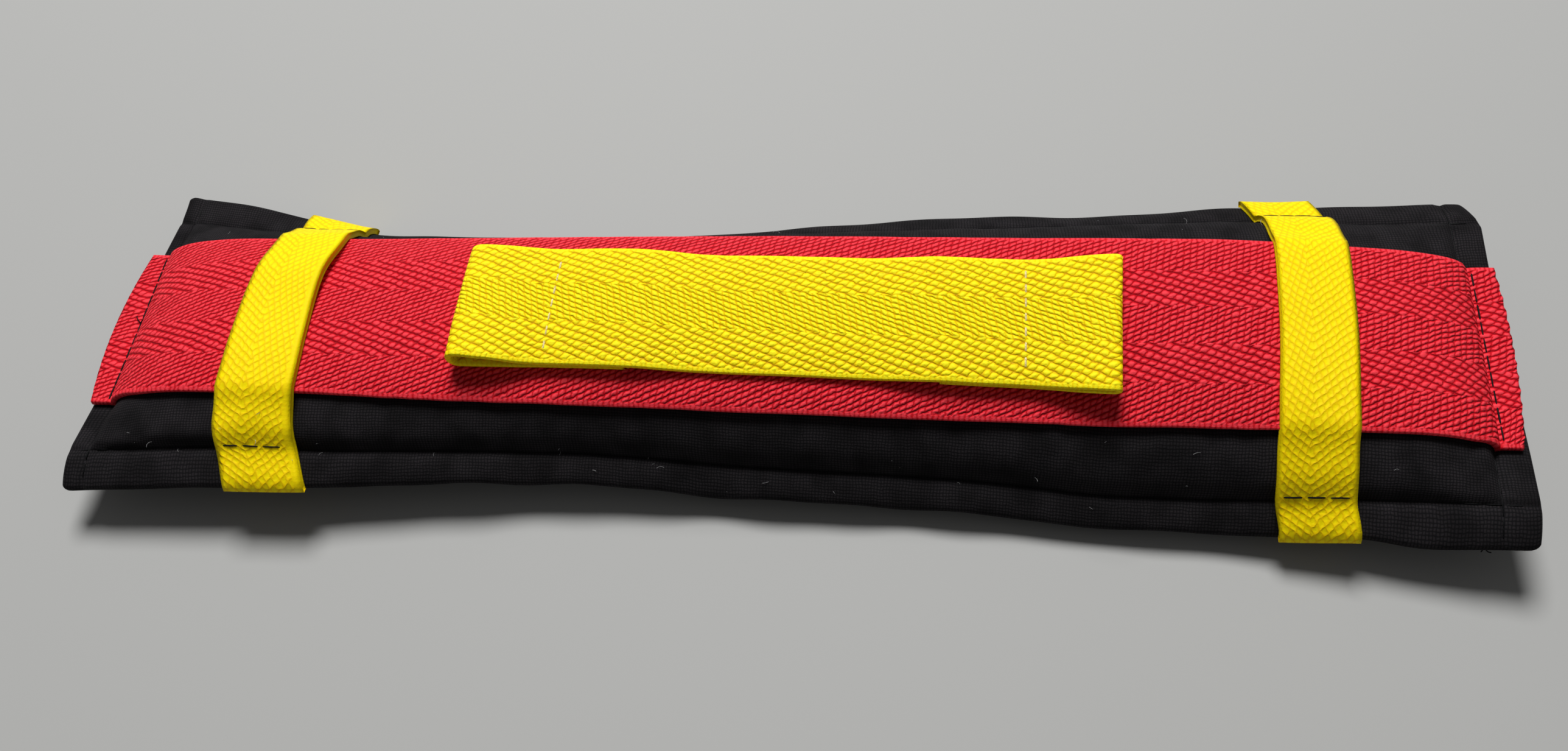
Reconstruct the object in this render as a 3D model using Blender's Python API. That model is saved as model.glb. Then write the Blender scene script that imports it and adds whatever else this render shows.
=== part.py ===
"""Seat belt neck pad: a stuffed black cotton bag with red webbing along its top,
two yellow straps across it and a yellow tape with a flat loop at each end.

The pad lies on its back. X runs along it, Y across it and Z up, and the origin is
under its middle, on the surface that it lies on.
"""

import math

import bmesh
import bpy
import numpy as np

MM = 0.001

# The sewn bag, measured flat on the table from edge to edge.
PAD_LENGTH = 268.5 * MM
LONG_ROW_INSET = 7.6 * MM
END_ROW_INSET = 5.0 * MM
END_ROW_WIDTH = 59 * MM
WAIST_ROW_WIDTH = 49 * MM
WAIST_X = -42 * MM
WAIST_POWER = 1.7
EDGE_DROOP_DEG = 42.0

# The filling's height above and below the flat seam. The pad lies a little twisted:
# its right end is lifted, and the places and degrees below tip its near side up.
CROWN_HEIGHT = 10.6 * MM
BELLY_DEPTH = 11.5 * MM
SEAM_HEIGHT = 9.0 * MM
LEFT_END_DROP = 2.0 * MM
RIGHT_END_LIFT = 4.0 * MM
LIFT_POWER = 3.0
TWIST_PLACES = (-134 * MM, -90 * MM, -25 * MM, 50 * MM, 85 * MM, 120 * MM)
TWIST_DEG = (7.4, 6.0, -1.0, -4.6, -4.0, 0.0)
CROWN_POWER = 2.5
CROWN_ROUND = 0.5
BELLY_POWER = 2.0
BELLY_ROUND = 1.0
FLAT_BELLY = 30 * MM
END_POWER = 9.0
END_ROUND = 0.5

# Cloth, tape and the clearance that touching layers keep.
CLOTH = 0.5 * MM
LAYER_GAP = 0.3 * MM
TAPE = 1.2 * MM
FOLDED_EDGE = 2 * CLOTH
LIP_DROP = 1.0 * MM

WEBBING_WIDTH = 38 * MM
STRAP_WIDTH = 15 * MM
LEFT_STRAP_INSET = 34.8 * MM
RIGHT_STRAP_INSET = 35.8 * MM
STRAP_BOW = 1.4 * MM
STRAP_BOW_Y = 9 * MM
STRAP_BOW_SPREAD = 9 * MM

LOOP_TAPE_WIDTH = 25 * MM
LOOP_TAPE_LENGTH = 120 * MM
LOOP_TAPE_X = 2.5 * MM
LOOP_TAPE_TURN_IN = 33 * MM
LOOP_LENGTH = 18.5 * MM
LOOP_SLOPE = 4.8 * MM
LOOP_DEPTH = 1.9 * MM
LOOP_SINK = 0.12
LEFT_LOOP_OPEN = 2.3 * MM
RIGHT_LOOP_OPEN = 1.2 * MM
RIGHT_LOOP_RAISE = 1.6 * MM

WADDING_GAP = 0.5 * MM
WADDING_TRIM = 5

# How finely the surfaces are divided.
SHOULDER_SHARES = (0.34, 0.62, 0.83, 0.95)
BELLY_SHARES = (0.4, 0.75, 1.0)
LOOP_SHARES = (0.33, 0.66)
END_STEPS = (1.2 * MM, 3.2 * MM, 6.2 * MM, 10.5 * MM)
LINES_BETWEEN_STRAPS = 21
FLAT_TAPE_LINES = 5
TAPE_LINES = 5
FOLD_LINES = 7
SHARP_ANGLE_DEG = 40

HALF_LENGTH = PAD_LENGTH / 2
END_ROW_X = HALF_LENGTH - END_ROW_INSET
STRAP_LEFT_X = LEFT_STRAP_INSET - HALF_LENGTH
STRAP_RIGHT_X = HALF_LENGTH - RIGHT_STRAP_INSET
HALF_WEBBING = WEBBING_WIDTH / 2
HALF_LOOP_TAPE = LOOP_TAPE_WIDTH / 2
SEAM_GAP = LAYER_GAP / 2
EDGE_REACHES = (0.0, LONG_ROW_INSET / 2, LONG_ROW_INSET)
ON_WEBBING = 2 * LAYER_GAP + TAPE
WEBBING_LINES = (0.0, HALF_LOOP_TAPE / 2, HALF_LOOP_TAPE, HALF_WEBBING)


def clear_scene():
    for old in list(bpy.data.objects):
        bpy.data.objects.remove(old, do_unlink=True)


def cloth_material(name, colour, roughness):
    material = bpy.data.materials.new(name)
    material.use_nodes = True
    shader = material.node_tree.nodes["Principled BSDF"]
    shader.inputs["Base Color"].default_value = (*colour, 1.0)
    shader.inputs["Roughness"].default_value = roughness
    shader.inputs["Metallic"].default_value = 0.0
    return material


def from_waist(x):
    """0 at the waist and 1 at either end of the pad."""
    reach = HALF_LENGTH - WAIST_X if x > WAIST_X else HALF_LENGTH + WAIST_X
    return min(abs(x - WAIST_X) / reach, 1.0)


def row_half(x):
    """How far the long row of stitching lies from the centre line at x."""
    widening = from_waist(x) ** WAIST_POWER
    return (WAIST_ROW_WIDTH + (END_ROW_WIDTH - WAIST_ROW_WIDTH) * widening) / 2


def seam_height(x, y):
    """Height of the seam between the two panels, which rises to the right end."""
    lift = RIGHT_END_LIFT if x > 0 else -LEFT_END_DROP
    twist = math.radians(np.interp(x, TWIST_PLACES, TWIST_DEG))
    return SEAM_HEIGHT + lift * (abs(x) / HALF_LENGTH) ** LIFT_POWER - y * math.tan(twist)


def edge_droop(x):
    """How steeply the flat edge hangs beyond the row, steepest at the waist."""
    return math.radians(EDGE_DROOP_DEG) * (1 - from_waist(x) ** WAIST_POWER)


def fullness(x, y, power, roundness):
    """Share of the full height of the filling at a point, 0 on the stitched rows."""
    across = min(abs(y) / row_half(x), 1.0)
    along = min(abs(x) / END_ROW_X, 1.0)
    return (1 - across ** power) ** roundness * (1 - along ** END_POWER) ** END_ROUND


def edge_point(x, reach, face, side):
    """Y and height of a panel's outer face at a distance out along the flat edge."""
    droop = edge_droop(x)
    layer = face * (SEAM_GAP + FOLDED_EDGE)
    y = side * (row_half(x) + reach * math.cos(droop) + layer * math.sin(droop))
    return y, seam_height(x, y) - reach * math.sin(droop) + layer * math.cos(droop)


def top_height(x, y):
    """Height of the top panel's outer face."""
    face = seam_height(x, y) + SEAM_GAP + FOLDED_EDGE
    return face + CROWN_HEIGHT * fullness(x, y, CROWN_POWER, CROWN_ROUND)


def belly_height(x, y):
    """Height of the bottom panel's outer face, flat where it meets the table."""
    face = seam_height(x, y) - SEAM_GAP - FOLDED_EDGE
    return max(face - BELLY_DEPTH * fullness(x, y, BELLY_POWER, BELLY_ROUND), 0.0)


def stations_along():
    """Places along the pad, closer together where the filling falls to the ends."""
    ends = [HALF_LENGTH, END_ROW_X]
    ends += [END_ROW_X - step for step in END_STEPS]
    straps = []
    for centre in (STRAP_LEFT_X, STRAP_RIGHT_X):
        straps += [centre - STRAP_WIDTH / 2, centre, centre + STRAP_WIDTH / 2]
    between = np.linspace(straps[2], straps[3], LINES_BETWEEN_STRAPS + 2)[1:-1]
    shoulders = [(ends[-1] + straps[-1]) / 2, -(ends[-1] - straps[0]) / 2]
    return sorted([*ends, *[-x for x in ends], *straps, *between, *shoulders])


def stations_across(x, inner):
    """Places across the pad: the flat edge, the shoulder and the lines in inner."""
    shoulder = row_half(x) - inner[-1]
    return [*inner, *[inner[-1] + shoulder * share for share in SHOULDER_SHARES]]


def panel_section(x, inner, height, face):
    """One line across a panel's outer face, from the near edge to the far edge."""
    half = stations_across(x, inner)
    body = [(y, height(x, y)) for y in [*[-y for y in half[:0:-1]], *half]]
    near = [edge_point(x, reach, face, -1) for reach in EDGE_REACHES[::-1]]
    far = [edge_point(x, reach, face, 1) for reach in EDGE_REACHES]
    return [(x, y, z) for y, z in near + body + far]


def grid_normals(grid):
    """Upward unit normals of a grid of points."""
    along = np.gradient(grid, axis=0)
    across = np.gradient(grid, axis=1)
    normal = np.cross(along, across)
    return normal / np.linalg.norm(normal, axis=2, keepdims=True)


def sheet_mesh(name, grid):
    """Mesh of quads on a grid of points, facing up."""
    rows, columns = grid.shape[:2]
    shape = bmesh.new()
    verts = [[shape.verts.new(point) for point in line] for line in grid]
    for i in range(rows - 1):
        for j in range(columns - 1):
            shape.faces.new((verts[i][j], verts[i + 1][j], verts[i + 1][j + 1], verts[i][j + 1]))
    mesh = bpy.data.meshes.new(name)
    shape.to_mesh(mesh)
    shape.free()
    return mesh


def add_object(name, mesh, material):
    piece = bpy.data.objects.new(name, mesh)
    bpy.context.scene.collection.objects.link(piece)
    mesh.materials.append(material)
    mesh.shade_smooth()
    mesh.set_sharp_from_angle(angle=math.radians(SHARP_ANGLE_DEG))
    return piece


def thicken(piece, thickness, side):
    """Give a sheet its thickness: side 1 builds upwards, -1 downwards, 0 both ways."""
    wall = piece.modifiers.new("cloth_thickness", "SOLIDIFY")
    wall.thickness = thickness
    wall.offset = side
    wall.use_even_offset = True
    wall.use_rim = True
    return wall


def double_the_edge(piece, wall, columns):
    """Let the panel be two layers thick in its flat edge, where the cloth turns in."""
    group = piece.vertex_groups.new(name="folded_edge")
    last = columns - 1
    for vert in piece.data.vertices:
        from_edge = min(vert.index % columns, last - vert.index % columns)
        at_end = abs(vert.co.x) > END_ROW_X - LAYER_GAP
        folded = at_end or from_edge < len(EDGE_REACHES)
        group.add([vert.index], 1.0 if folded else 0.0, "REPLACE")
    wall.vertex_group = group.name
    wall.thickness = FOLDED_EDGE
    wall.thickness_vertex_group = CLOTH / FOLDED_EDGE


def top_grid():
    return np.array([panel_section(x, WEBBING_LINES, top_height, 1) for x in stations_along()])


def belly_grid():
    inner = [0.0, *[FLAT_BELLY / 2 * share for share in BELLY_SHARES]]
    return np.array([panel_section(x, inner, belly_height, -1) for x in stations_along()])


def make_top_panel(material):
    grid = top_grid()
    piece = add_object("cover_top", sheet_mesh("cover_top", grid), material)
    wall = thicken(piece, CLOTH, -1)
    double_the_edge(piece, wall, grid.shape[1])


def make_bottom_panel(material):
    grid = belly_grid()[:, ::-1]
    piece = add_object("cover_bottom", sheet_mesh("cover_bottom", grid), material)
    wall = thicken(piece, CLOTH, -1)
    double_the_edge(piece, wall, grid.shape[1])


def boundary(rows, columns):
    """Indexes of a grid's outermost points, once round."""
    near = [(i, 0) for i in range(rows - 1)]
    right = [(rows - 1, j) for j in range(columns - 1)]
    far = [(i, columns - 1) for i in range(rows - 1, 0, -1)]
    left = [(0, j) for j in range(columns - 1, 0, -1)]
    return near + right + far + left


def make_wadding(material):
    """The filling, a lens inside the bag that stays clear of both panels."""
    clear = CLOTH + WADDING_GAP
    lines = slice(WADDING_TRIM, -WADDING_TRIM)
    grids = []
    for cover, side in ((top_grid(), -1), (belly_grid(), 1)):
        grids.append((cover + side * grid_normals(cover) * clear)[lines, lines])
    rows, columns = grids[0].shape[:2]
    shape = bmesh.new()
    upper, lower = [[[shape.verts.new(point) for point in line] for line in grid] for grid in grids]
    for i in range(rows - 1):
        for j in range(columns - 1):
            square = [(i, j), (i + 1, j), (i + 1, j + 1), (i, j + 1)]
            shape.faces.new([upper[a][b] for a, b in square])
            shape.faces.new([lower[a][b] for a, b in reversed(square)])
    rim = boundary(rows, columns)
    for (a, b), (c, d) in zip(rim, rim[1:] + rim[:1]):
        shape.faces.new((upper[c][d], upper[a][b], lower[a][b], lower[c][d]))
    mesh = bpy.data.meshes.new("wadding")
    shape.to_mesh(mesh)
    shape.free()
    add_object("wadding", mesh, material)


def lipped(grid, normals):
    """Add a lip at both ends of a grid, folded down over the panel's edge."""
    added = []
    for end, before in ((0, 1), (-1, -2)):
        outwards = grid[end] - grid[before]
        outwards /= np.linalg.norm(outwards, axis=1, keepdims=True)
        corner = grid[end] + outwards * LAYER_GAP
        added.append((corner, corner - normals[end] * LIP_DROP))
    (first, first_lip), (last, last_lip) = added
    return np.array([first_lip, first, *grid, last, last_lip])


def make_webbing(material):
    """Red webbing, laid on the top panel from one end seam to the other."""
    cover = top_grid()
    middle = cover.shape[1] // 2
    beside = len(WEBBING_LINES) - 1
    lines = slice(middle - beside, middle + beside + 1)
    normals = grid_normals(cover)[:, lines]
    grid = lipped(cover[:, lines] + normals * LAYER_GAP, normals)
    piece = add_object("red_webbing", sheet_mesh("red_webbing", grid), material)
    thicken(piece, TAPE, 1)


def make_strap(name, centre, bow, material):
    """Yellow strap across the webbing, its ends folded over the long edges."""
    cover = top_grid()
    normals = grid_normals(cover)
    edges = (centre - STRAP_WIDTH / 2, centre + STRAP_WIDTH / 2)
    reach = (edges[0] - LAYER_GAP, edges[1] + LAYER_GAP)
    lines = [i for i, line in enumerate(cover) if reach[0] < line[0][0] < reach[1]]
    grid = []
    for i in lines:
        points = []
        for point, normal in zip(cover[i], normals[i]):
            on_webbing = abs(point[1]) < HALF_WEBBING + LAYER_GAP
            lift = ON_WEBBING if on_webbing else LAYER_GAP
            if on_webbing:
                lift += bow * math.exp(-((point[1] - STRAP_BOW_Y) / STRAP_BOW_SPREAD) ** 2)
            points.append(point + normal * lift)
        grid.append(points)
    across = lipped(np.array(grid).swapaxes(0, 1), normals[lines].swapaxes(0, 1))
    piece = add_object(name, sheet_mesh(name, across[::-1]), material)
    thicken(piece, TAPE, 1)


def loop_tape_path():
    """X and height above the cover of the tape's middle layer, cut end to cut end."""
    lying = ON_WEBBING + TAPE / 2
    stacked = lying + TAPE + LAYER_GAP
    left = LOOP_TAPE_X - LOOP_TAPE_LENGTH / 2
    right = LOOP_TAPE_X + LOOP_TAPE_LENGTH / 2
    path = [(left + LOOP_TAPE_TURN_IN, lying), (left + LOOP_LENGTH, lying)]
    path += fold(left, 1, lying, lying, stacked + LEFT_LOOP_OPEN)
    path += [(left + LOOP_LENGTH, stacked), (left + LOOP_TAPE_TURN_IN, stacked)]
    flat_from = left + LOOP_TAPE_TURN_IN + LOOP_SLOPE
    flat_to = right - LOOP_TAPE_TURN_IN - LOOP_SLOPE
    path += [(x, lying) for x in np.linspace(flat_from, flat_to, FLAT_TAPE_LINES + 1)]
    path += [(right - LOOP_TAPE_TURN_IN, stacked), (right - LOOP_LENGTH, stacked)]
    raised = lying + RIGHT_LOOP_RAISE
    path += fold(right, -1, raised, raised, raised + TAPE + LAYER_GAP + RIGHT_LOOP_OPEN)[::-1]
    path += [(right - LOOP_LENGTH, lying), (right - LOOP_TAPE_TURN_IN, lying)]
    return path


def fold(end, inwards, start, low, high):
    """The loop at one end: under layer, round the fold and back over the top."""
    radius = (high - low) / 2
    middle = (high + low) / 2
    depth = min(radius, LOOP_DEPTH)
    points = []
    for share in LOOP_SHARES[::-1]:
        points.append((end + inwards * LOOP_LENGTH * share, start + (low - start) * (1 - share)))
    for angle in np.linspace(-90, 90, FOLD_LINES):
        turn = math.radians(angle)
        out = TAPE / 2 + depth * (1 - math.cos(turn))
        points.append((end + inwards * out, middle + radius * math.sin(turn)))
    for share in LOOP_SHARES:
        points.append((end + inwards * LOOP_LENGTH * share, high - (high - low) * LOOP_SINK * share))
    return points


def cover_normal(x, y):
    """Unit normal of the top panel away from its rows of stitching."""
    aside = LAYER_GAP / 4
    slope_x = (top_height(x + aside, y) - top_height(x - aside, y)) / (2 * aside)
    slope_y = (top_height(x, y + aside) - top_height(x, y - aside)) / (2 * aside)
    normal = np.array((-slope_x, -slope_y, 1.0))
    return normal / np.linalg.norm(normal)


def make_loop_tape(material):
    """Yellow tape with both ends turned under, stitched down the webbing's middle."""
    lying = ON_WEBBING + TAPE / 2
    lines = []
    for x, height in loop_tape_path():
        upwards = cover_normal(x, 0.0) * (height - lying)
        points = []
        for y in np.linspace(-HALF_LOOP_TAPE, HALF_LOOP_TAPE, TAPE_LINES):
            points.append(np.array((x, y, top_height(x, y))) + cover_normal(x, y) * lying + upwards)
        lines.append(points)
    piece = add_object("loop_tape", sheet_mesh("loop_tape", np.array(lines)), material)
    thicken(piece, TAPE, 0)


def build():
    clear_scene()
    black = cloth_material("black_cotton", (0.006, 0.006, 0.007), 0.9)
    red = cloth_material("red_herringbone_webbing", (0.56, 0.022, 0.032), 0.75)
    yellow = cloth_material("yellow_herringbone_tape", (0.91, 0.70, 0.005), 0.75)
    white = cloth_material("polyester_wadding", (0.8, 0.8, 0.78), 0.95)
    make_bottom_panel(black)
    make_wadding(white)
    make_top_panel(black)
    make_webbing(red)
    make_strap("strap_left", STRAP_LEFT_X, STRAP_BOW, yellow)
    make_strap("strap_right", STRAP_RIGHT_X, 0.0, yellow)
    make_loop_tape(yellow)


build()
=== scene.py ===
"""Seat belt neck pad: a stuffed black cotton bag, red herringbone webbing along its
top, two yellow tapes across it and a longer yellow tape with a flat loop at each end.
"""

import math

import bpy
import numpy as np
from mathutils import Matrix, Vector
from mathutils.bvhtree import BVHTree


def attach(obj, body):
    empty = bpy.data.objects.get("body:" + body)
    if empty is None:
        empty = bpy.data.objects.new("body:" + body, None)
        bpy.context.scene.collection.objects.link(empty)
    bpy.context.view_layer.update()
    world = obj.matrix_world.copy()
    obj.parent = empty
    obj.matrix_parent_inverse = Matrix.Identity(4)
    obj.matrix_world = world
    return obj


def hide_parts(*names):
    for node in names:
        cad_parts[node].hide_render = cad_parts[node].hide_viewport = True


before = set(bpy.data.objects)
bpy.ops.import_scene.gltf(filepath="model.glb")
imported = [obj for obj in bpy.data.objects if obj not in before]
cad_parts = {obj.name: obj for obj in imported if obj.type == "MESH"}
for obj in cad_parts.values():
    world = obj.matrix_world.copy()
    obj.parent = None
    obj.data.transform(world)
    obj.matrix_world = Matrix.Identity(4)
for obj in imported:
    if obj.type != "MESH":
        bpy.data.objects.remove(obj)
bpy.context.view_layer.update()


# The cover: a bag of black plain-weave cotton, sewn inside out, turned and stuffed,
# then topstitched all round, which leaves a flat edge outside the stitching. The pad
# lies with a slight twist, its near left corner and its far right side lifted.
MM = 0.001
LEFT_END = -134.4
RIGHT_END = 135.6
LEFT_ROW = -130.2
RIGHT_ROW = 130.3
EDGE_HALF_THICKNESS = 0.95
STITCH_PINCH = 0.5
STITCH_PINCH_WIDTH = 0.7
CORNER_RADIUS = 1.7
CROWN_POWER = 2.5
BELLY_POWER = 2.2
END_POWER = 9
CLOTH_STATIONS = 101
CLOTH_LINES = 23
CLOTH_STEPS = 20
WRINKLE_SHARE = 0.38
WRINKLE_LIMIT = 1.2
COTTON_THREAD_PITCH = 0.58


def smoothed(pairs, width=6.0):
    """A smooth function of x through pairs of (x, value), all in millimetres."""
    fine = np.linspace(-150, 150, 601)
    places, values = zip(*pairs)
    reach = np.arange(-40, 41) * 0.5
    weights = np.exp(-0.5 * (reach / width) ** 2)
    padded = np.pad(np.interp(fine, places, values), 40, mode="edge")
    line = np.convolve(padded, weights / weights.sum(), mode="valid")
    return lambda x: np.interp(x, fine, line)


def ramp(x, start, end):
    """0 before start, 1 after end, and a smooth rise between."""
    share = np.clip((x - start) / (end - start), 0, 1)
    return share * share * (3 - 2 * share)


# Height of the seam, and its lean across the pad in degrees.
seam_level = smoothed([
    (-134, 7.0), (-124, 7.6), (-108, 8.6), (-84, 9.2), (-36, 9), (28, 9), (60, 9.3),
    (84, 9.8), (108, 11), (124, 12), (135, 13.4),
])
twist = smoothed([
    (-134, 7), (-116, 7.8), (-104, 7.0), (-84, 5.5), (-60, 3), (-36, 1), (-4, -2.5),
    (28, -3.5), (60, -5.2), (84, -5), (108, -1), (124, 0), (135, 0),
])
# How far the long rows of stitching lie from the middle, and the edge beyond them.
near_row = smoothed([
    (-134, 29.3), (-124, 28.8), (-108, 27.9), (-84, 27.6), (-60, 25.9), (-36, 24.8),
    (-20, 25.1), (-4, 25.7), (28, 26.0), (44, 26.6), (60, 28.1), (84, 28.3), (108, 28.5),
    (124, 29.3), (135, 29.8),
], 3.5)
far_row = smoothed([
    (-134, 30.4), (-116, 27.0), (-100, 24.5), (-84, 23.6), (-36, 23.6), (-4, 24.5),
    (20, 26), (44, 27), (76, 28.5), (92, 29.6), (108, 30), (135, 31),
])
near_edge = smoothed([
    (-134, 8.0), (-92, 7.9), (-84, 6.9), (-60, 6.3), (-36, 6.0), (76, 5.9), (92, 6.4),
    (108, 6.8), (116, 8.2), (124, 8.0), (135, 7.6),
], 3.0)
far_edge = smoothed([(-134, 7.2), (135, 7.2)])
# How steeply the flat edge hangs, in degrees.
near_droop = smoothed([
    (-134, 27), (-108, 28), (-84, 31), (-36, 36), (84, 33), (108, 28), (135, 27),
])
far_droop = smoothed([
    (-134, -14), (-120, -6), (-108, 14), (-100, 30), (-88, 50), (-60, 56), (-20, 56),
    (-4, 47), (12, 40), (28, 30), (60, 39), (76, 39), (84, 33), (92, 27), (116, 22),
    (135, 24),
])
# How far the stuffing swells above the seam, and below it.
crown = smoothed([
    (-134, 11), (-116, 10.5), (-104, 8.8), (-84, 8.8), (-60, 9.7), (-36, 11), (28, 10.9),
    (60, 10.5), (84, 10.8), (108, 9.6), (124, 10), (135, 10),
])
belly = smoothed([(-134, 7), (-84, 9.6), (60, 9.9), (108, 10.5), (135, 9)])


def row_at(x, y):
    """Distance of the long row on y's side from the middle."""
    return np.where(y < 0, near_row(x), far_row(x))


def seam_height(x, y):
    """Height of the seam between the two panels."""
    return seam_level(x) - np.tan(np.radians(twist(x))) * y


def fullness(x, y, power, roundness):
    """Share of the full height of the stuffing, 0 on the rows of stitching."""
    middle = (LEFT_ROW + RIGHT_ROW) / 2
    along = np.clip(np.abs(x - middle) / (RIGHT_ROW - middle), 0, 1)
    across = np.clip(np.abs(y) / row_at(x, y), 0, 1)
    return (1 - across ** power) ** roundness * (1 - along ** END_POWER) ** 0.6


def end_pull(x, y):
    """How far the sewn ends stray from straight: by rows of stitching, then by rims."""
    left_row = np.interp(y, (-36, -29, -19, 0, 19, 36), (-1.6, -1.2, 0.9, 0.3, -0.5, -0.3))
    left_rim = np.interp(y, (-40, -34, -19, 0, 19, 38), (-1.9, -1.6, -0.5, -0.5, -0.3, 0.6))
    right_row = np.interp(y, (-30, 30), (-0.5, 0.5))
    right_rim = np.interp(y, (-36, -20, 0, 19, 30, 38), (0.7, 0.8, 0.6, 0.8, 1.1, -0.6))
    left = ramp(-x, 118, -LEFT_ROW) * left_row
    left = left + ramp(-x, -LEFT_ROW, -LEFT_END) * (left_rim - left_row)
    right = ramp(x, 118, RIGHT_ROW) * right_row
    right = right + ramp(x, RIGHT_ROW, RIGHT_END) * (right_rim - right_row)
    return left + right


def cloth_grid():
    """Where the simulated cloth's points lie: stations along, and shares across."""
    stations = np.linspace(LEFT_ROW, RIGHT_ROW, CLOTH_STATIONS)
    shares = np.sin(np.linspace(-math.pi / 2, math.pi / 2, CLOTH_LINES))
    return stations, shares


def swollen_cloth():
    """Cloth simulation of the stuffed body: how its cotton wrinkles between the rows."""
    stations, shares = cloth_grid()
    x = np.repeat(stations[:, None], CLOTH_LINES, axis=1)
    y = row_at(x, shares) * shares
    level = seam_height(x, y)
    rng = np.random.default_rng(5)
    upper = level + 0.9 * crown(x) * fullness(x, y, CROWN_POWER, 0.5)
    lower = np.maximum(level - 0.9 * belly(x) * fullness(x, y, 2.0, 0.9), 0)
    points, faces, index = [], [], {}

    def on_rim(i, j):
        return i in (0, CLOTH_STATIONS - 1) or j in (0, CLOTH_LINES - 1)

    def place(side, i, j):
        key = (0 if on_rim(i, j) else side, i, j)
        if key not in index:
            index[key] = len(points)
            height = level[i, j]
            if not on_rim(i, j):
                height = (upper, lower)[side][i, j] + rng.normal(0, 0.05)
            points.append((x[i, j] * MM, y[i, j] * MM, height * MM))
        return index[key]

    for i in range(CLOTH_STATIONS - 1):
        for j in range(CLOTH_LINES - 1):
            square = [(i, j), (i + 1, j), (i + 1, j + 1), (i, j + 1)]
            faces.append([place(0, *corner) for corner in square])
            faces.append([place(1, *corner) for corner in reversed(square)])
    mesh = bpy.data.meshes.new("stuffing_trial")
    mesh.from_pydata(points, [], faces)
    bag = bpy.data.objects.new("stuffing_trial", mesh)
    bpy.context.scene.collection.objects.link(bag)
    sewn = bag.vertex_groups.new(name="sewn")
    sewn.add([index[key] for key in index if on_rim(*key[1:])], 1.0, "REPLACE")
    cloth = bag.modifiers.new("stuffing", "CLOTH")
    cloth.settings.quality = 5
    cloth.settings.mass = 0.15
    cloth.settings.tension_stiffness = 20
    cloth.settings.compression_stiffness = 20
    cloth.settings.shear_stiffness = 8
    cloth.settings.bending_stiffness = 0.2
    cloth.settings.vertex_group_mass = "sewn"
    cloth.settings.shrink_min = -0.045
    cloth.settings.use_pressure = True
    cloth.settings.uniform_pressure_force = 4
    cloth.settings.effector_weights.gravity = 0
    cloth.point_cache.frame_start = 1
    cloth.point_cache.frame_end = CLOTH_STEPS
    for step in range(1, CLOTH_STEPS + 1):
        bpy.context.scene.frame_set(step)
    settled = bag.evaluated_get(bpy.context.evaluated_depsgraph_get()).to_mesh()
    moved = np.array([vert.co[:] for vert in settled.vertices]) / MM
    risen = (moved - np.array(points) / MM)[:, 2]
    swells = []
    for side in (0, 1):
        swell = np.zeros_like(x)
        for i in range(CLOTH_STATIONS):
            for j in range(CLOTH_LINES):
                swell[i, j] = risen[index[(0 if on_rim(i, j) else side, i, j)]]
        swells.append(swell)
    bpy.data.objects.remove(bag, do_unlink=True)
    bpy.data.meshes.remove(mesh)
    bpy.context.scene.frame_set(1)
    return swells


def blurred(field, passes):
    """The field with its short waves taken out."""
    for _ in range(passes):
        padded = np.pad(field, 1, mode="edge")
        beside = padded[:-2, 1:-1] + padded[2:, 1:-1] + padded[1:-1, :-2] + padded[1:-1, 2:]
        field = (beside + 2 * field) / 6
    return field


wrinkles = [
    WRINKLE_SHARE * np.clip(swell - blurred(swell, 60), -WRINKLE_LIMIT, WRINKLE_LIMIT)
    for swell in swollen_cloth()
]


def wrinkle(x, y, side):
    """Rise of the simulated cloth at a point of the upper (0) or lower (1) panel."""
    stations, shares = cloth_grid()
    i = np.interp(x, stations, np.arange(CLOTH_STATIONS))
    j = np.interp(np.clip(y / row_at(x, y), -1, 1), shares, np.arange(CLOTH_LINES))
    i0 = np.clip(np.floor(i).astype(int), 0, CLOTH_STATIONS - 2)
    j0 = np.clip(np.floor(j).astype(int), 0, CLOTH_LINES - 2)
    a, b = i - i0, j - j0
    field = wrinkles[side]
    before = field[i0, j0] * (1 - b) + field[i0, j0 + 1] * b
    after = field[i0 + 1, j0] * (1 - b) + field[i0 + 1, j0 + 1] * b
    return before * (1 - a) + after * a


def half_thickness(x, y, from_rim):
    """Half of the sewn edge: pinched where it is stitched and round at its rim."""
    from_end_row = np.minimum(np.abs(x - LEFT_ROW), np.abs(x - RIGHT_ROW))
    from_row = np.minimum(from_end_row, np.abs(np.abs(y) - row_at(x, y)))
    pinch = STITCH_PINCH * np.exp(-(from_row / STITCH_PINCH_WIDTH) ** 2)
    rim = np.clip((EDGE_HALF_THICKNESS - from_rim) / EDGE_HALF_THICKNESS, 0, 1)
    return (EDGE_HALF_THICKNESS - pinch) * np.sqrt(1 - rim ** 2)


def cover_top(x, y):
    """Height of the upper panel inside the long rows, smoother under the webbing."""
    face = seam_height(x, y) + half_thickness(x, y, 9.0)
    soft = 1 - 0.75 * ramp(-np.abs(y), -20.5, -18)
    return face + crown(x) * fullness(x, y, CROWN_POWER, 0.5) + wrinkle(x, y, 0) * soft


def cover_bottom(x, y):
    """Height of the lower panel inside the long rows, flat where it lies."""
    face = seam_height(x, y) - half_thickness(x, y, 9.0)
    low = face - belly(x) * fullness(x, y, BELLY_POWER, 0.6) + 0.6 * wrinkle(x, y, 1)
    return 0.5 * (low + np.sqrt(low ** 2 + 0.25)) + 0.02


def edge_wave(x, side):
    """Slow puckers along the flat edge, in millimetres."""
    if side > 0:
        return 0.3 * np.sin(x / 6.1 + 1.0) + 0.2 * np.sin(x / 3.3)
    swell = 0.35 + 0.65 * ramp(x, -92, -70) * (1 - ramp(x, 20, 60))
    wave = 0.42 * np.sin(x / 5.3 + 0.6) + 0.3 * np.sin(x / 2.9 + 2.0) + 0.25 * np.sin(x / 9.1)
    return swell * wave


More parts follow.
